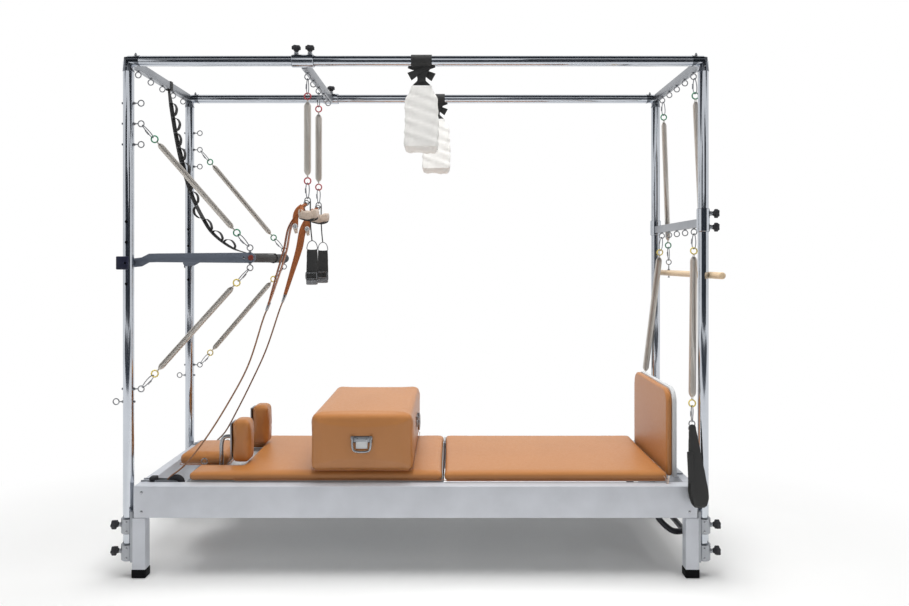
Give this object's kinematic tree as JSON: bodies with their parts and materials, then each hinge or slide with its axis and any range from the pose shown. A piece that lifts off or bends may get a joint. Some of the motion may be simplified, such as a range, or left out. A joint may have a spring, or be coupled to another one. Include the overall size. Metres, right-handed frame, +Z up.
{
  "type": "pilates trapeze table",
  "caption": "Tube canopy with springs, slings and bars over a sprung-bed base with a rolling carriage, sitting box, mat and jumpboard.",
  "frame": {"origin": "on the floor midway between the four posts", "axes": "+X to the foot end along the bed, +Z up, -Y to the side called front"},
  "size_m": [2.59, 0.914, 2.2411],
  "materials": {
    "chrome_tube": "polished",
    "steel_part": "satin",
    "bed_aluminium": "satin",
    "black_plastic": "matte",
    "black_foam": "matte",
    "tan_upholstery": "satin",
    "black_webbing": "matte",
    "white_fleece": "matte",
    "beech": "satin",
    "grey_panel": "matte",
    "strap_leather": "satin",
    "rope_cloth": "matte",
    "black_tube": "satin"
  },
  "bodies": {
    "frame": {"leg_head_front": "bed_aluminium", "post_head_front": "chrome_tube", "leg_head_rear": "bed_aluminium", "post_head_rear": "chrome_tube", "head_end_rail": "bed_aluminium", "head_crossbar": "steel_part", "leg_foot_front": "bed_aluminium", "post_foot_front": "chrome_tube", "leg_foot_rear": "bed_aluminium", "post_foot_rear": "chrome_tube", "foot_end_rail": "bed_aluminium", "foot_crossbar": "steel_part", "side_rail_front": "bed_aluminium", "top_rail_front": "chrome_tube", "side_rail_rear": "bed_aluminium", "top_rail_rear": "chrome_tube"},
    "slider": {"sliding_crossbar": "steel_part", "arm_spring_front": "steel_part", "cuff_front": "black_webbing", "pull_strap_front": "strap_leather", "pull_rope_front": "rope_cloth", "arm_spring_rear": "steel_part", "cuff_rear": "black_webbing", "pull_strap_rear": "strap_leather", "pull_rope_rear": "rope_cloth"},
    "height_bar": {"height_crossbar": "steel_part"},
    "push_bar": {"push_through_bar": "steel_part", "push_bar_grip": "black_foam", "safety_strap": "black_webbing", "push_spring_top_front": "steel_part", "push_spring_top_rear": "steel_part", "push_spring_bottom_front": "steel_part", "push_spring_bottom_rear": "steel_part"},
    "roll_springs": {"roll_spring_front": "steel_part", "roll_spring_rear": "steel_part"},
    "roll_bar": {"roll_down_bar": "beech"},
    "carriage": {"carriage_frame": "bed_aluminium", "carriage_pad": "tan_upholstery"},
    "headrest": {"headrest": "tan_upholstery"},
    "sitting_box": {"sitting_box": "tan_upholstery"},
    "mat": {"mat": "tan_upholstery"},
    "jumpboard": {"jumpboard_panel": "grey_panel", "jumpboard_pad": "tan_upholstery"},
    "footbar": {"footbar": "black_tube"},
    "slider_knob_1_front": {"slider_knob_1_front": "black_plastic"},
    "height_knob_1_front": {"height_knob_1_front": "black_plastic"},
    "slider_knob_2_front": {"slider_knob_2_front": "black_plastic"},
    "height_knob_2_front": {"height_knob_2_front": "black_plastic"},
    "slider_knob_3_rear": {"slider_knob_3_rear": "black_plastic"},
    "height_knob_3_rear": {"height_knob_3_rear": "black_plastic"},
    "leg_spring_front": {"leg_spring_front": "steel_part"},
    "foot_strap_front": {"foot_strap_front": "black_webbing"},
    "sling_front": {"sling_front": "white_fleece"},
    "shoulder_rest_front": {"shoulder_rest_front": "tan_upholstery"},
    "pulley_front": {"pulley_front": "black_plastic"},
    "leg_spring_rear": {"leg_spring_rear": "steel_part"},
    "foot_strap_rear": {"foot_strap_rear": "black_webbing"},
    "sling_rear": {"sling_rear": "white_fleece"},
    "shoulder_rest_rear": {"shoulder_rest_rear": "tan_upholstery"},
    "pulley_rear": {"pulley_rear": "black_plastic"}
  },
  "joints": [
    {"name": "slider_slide", "type": "slide", "parent": "frame", "child": "slider", "axis": [1, 0, 0], "range_m": [-0.09, 0.3], "deforming": ["pull_rope_front", "pull_rope_rear"]},
    {"name": "height_slide", "type": "slide", "parent": "frame", "child": "height_bar", "axis": [0, 0, 1], "range_m": [-0.095, 0.06]},
    {"name": "push_bar_swing", "type": "hinge", "parent": "frame", "child": "push_bar", "pos_m": [-1.218, 0, 1.322], "axis": [0, 1, 0], "range_deg": [-30, 30], "stiffness_Nm_per_rad": 300, "springref_deg": -6.88, "deforming": ["push_spring_top_front", "push_spring_top_rear", "push_spring_bottom_front", "push_spring_bottom_rear", "safety_strap"]},
    {"name": "roll_swing", "type": "hinge", "parent": "frame", "child": "roll_springs", "pos_m": [1.218, 0, 2.143], "axis": [0, 1, 0], "range_deg": [-25, 0]},
    {"name": "roll_pull", "type": "slide", "parent": "roll_springs", "child": "roll_bar", "axis": [0.045, 0, -0.999], "range_m": [0, 0.35], "stiffness_N_per_m": 400, "springref_m": -0.02, "deforming": ["roll_spring_front", "roll_spring_rear"]},
    {"name": "carriage_roll", "type": "slide", "parent": "frame", "child": "carriage", "axis": [1, 0, 0], "range_m": [-0.02, 0], "deforming": ["pull_rope_front", "pull_rope_rear"]},
    {"name": "headrest_lift", "type": "hinge", "parent": "carriage", "child": "headrest", "pos_m": [-0.862, 0, 0.3973], "axis": [0, 1, 0], "range_deg": [0, 25]},
    {"name": "box_lift", "type": "slide", "parent": "carriage", "child": "sitting_box", "axis": [0, 0, 1], "range_m": [0, 0.3]},
    {"name": "mat_lift", "type": "slide", "parent": "frame", "child": "mat", "axis": [0, 0, 1], "range_m": [0, 0.2]},
    {"name": "jumpboard_lift", "type": "slide", "parent": "frame", "child": "jumpboard", "axis": [0, 0, 1], "range_m": [0, 0.15]},
    {"name": "footbar_fold", "type": "hinge", "parent": "frame", "child": "footbar", "pos_m": [1.02, 0, 0.272], "axis": [0, 1, 0], "range_deg": [-18, 45]},
    {"name": "slider_knob_1_front_turn", "type": "hinge", "parent": "slider", "child": "slider_knob_1_front", "pos_m": [-0.507, -0.34, 2.21], "axis": [0, 0, 1], "continuous": true},
    {"name": "height_knob_1_front_turn", "type": "hinge", "parent": "height_bar", "child": "height_knob_1_front", "pos_m": [1.25, -0.34, 1.474], "axis": [1, 0, 0], "continuous": true},
    {"name": "slider_knob_2_front_turn", "type": "hinge", "parent": "slider", "child": "slider_knob_2_front", "pos_m": [-0.449, -0.34, 2.21], "axis": [0, 0, 1], "continuous": true},
    {"name": "height_knob_2_front_turn", "type": "hinge", "parent": "height_bar", "child": "height_knob_2_front", "pos_m": [1.25, -0.34, 1.532], "axis": [1, 0, 0], "continuous": true},
    {"name": "slider_knob_3_rear_turn", "type": "hinge", "parent": "slider", "child": "slider_knob_3_rear", "pos_m": [-0.478, 0.34, 2.21], "axis": [0, 0, 1], "continuous": true},
    {"name": "height_knob_3_rear_turn", "type": "hinge", "parent": "height_bar", "child": "height_knob_3_rear", "pos_m": [1.25, 0.34, 1.503], "axis": [1, 0, 0], "continuous": true},
    {"name": "leg_spring_front_swing", "type": "hinge", "parent": "height_bar", "child": "leg_spring_front", "pos_m": [1.218, -0.23, 1.458], "axis": [0, 1, 0], "range_deg": [0, 30]},
    {"name": "foot_strap_front_pull", "type": "slide", "parent": "leg_spring_front", "child": "foot_strap_front", "axis": [-0.0698, -0.1681, -0.9833], "range_m": [0, 0.25], "stiffness_N_per_m": 200, "springref_m": -0.02, "deforming": ["leg_spring_front"]},
    {"name": "sling_front_swing", "type": "hinge", "parent": "frame", "child": "sling_front", "pos_m": [0, -0.34, 2.178], "axis": [1, 0, 0], "range_deg": [-30, 30]},
    {"name": "shoulder_rest_front_lift", "type": "slide", "parent": "carriage", "child": "shoulder_rest_front", "axis": [0, 0, 1], "range_m": [0, 0.12]},
    {"name": "pulley_front_spin", "type": "hinge", "parent": "frame", "child": "pulley_front", "pos_m": [-1.036, -0.292, 0.373], "axis": [0, 1, 0], "continuous": true},
    {"name": "leg_spring_rear_swing", "type": "hinge", "parent": "height_bar", "child": "leg_spring_rear", "pos_m": [1.218, 0.23, 1.458], "axis": [0, 1, 0], "range_deg": [0, 30]},
    {"name": "foot_strap_rear_pull", "type": "slide", "parent": "leg_spring_rear", "child": "foot_strap_rear", "axis": [-0.0698, 0.1681, -0.9833], "range_m": [0, 0.25], "stiffness_N_per_m": 200, "springref_m": -0.02, "deforming": ["leg_spring_rear"]},
    {"name": "sling_rear_swing", "type": "hinge", "parent": "frame", "child": "sling_rear", "pos_m": [0, 0.34, 2.178], "axis": [1, 0, 0], "range_deg": [-30, 30]},
    {"name": "shoulder_rest_rear_lift", "type": "slide", "parent": "carriage", "child": "shoulder_rest_rear", "axis": [0, 0, 1], "range_m": [0, 0.12]},
    {"name": "pulley_rear_spin", "type": "hinge", "parent": "frame", "child": "pulley_rear", "pos_m": [-1.036, 0.292, 0.373], "axis": [0, 1, 0], "continuous": true}
  ]
}
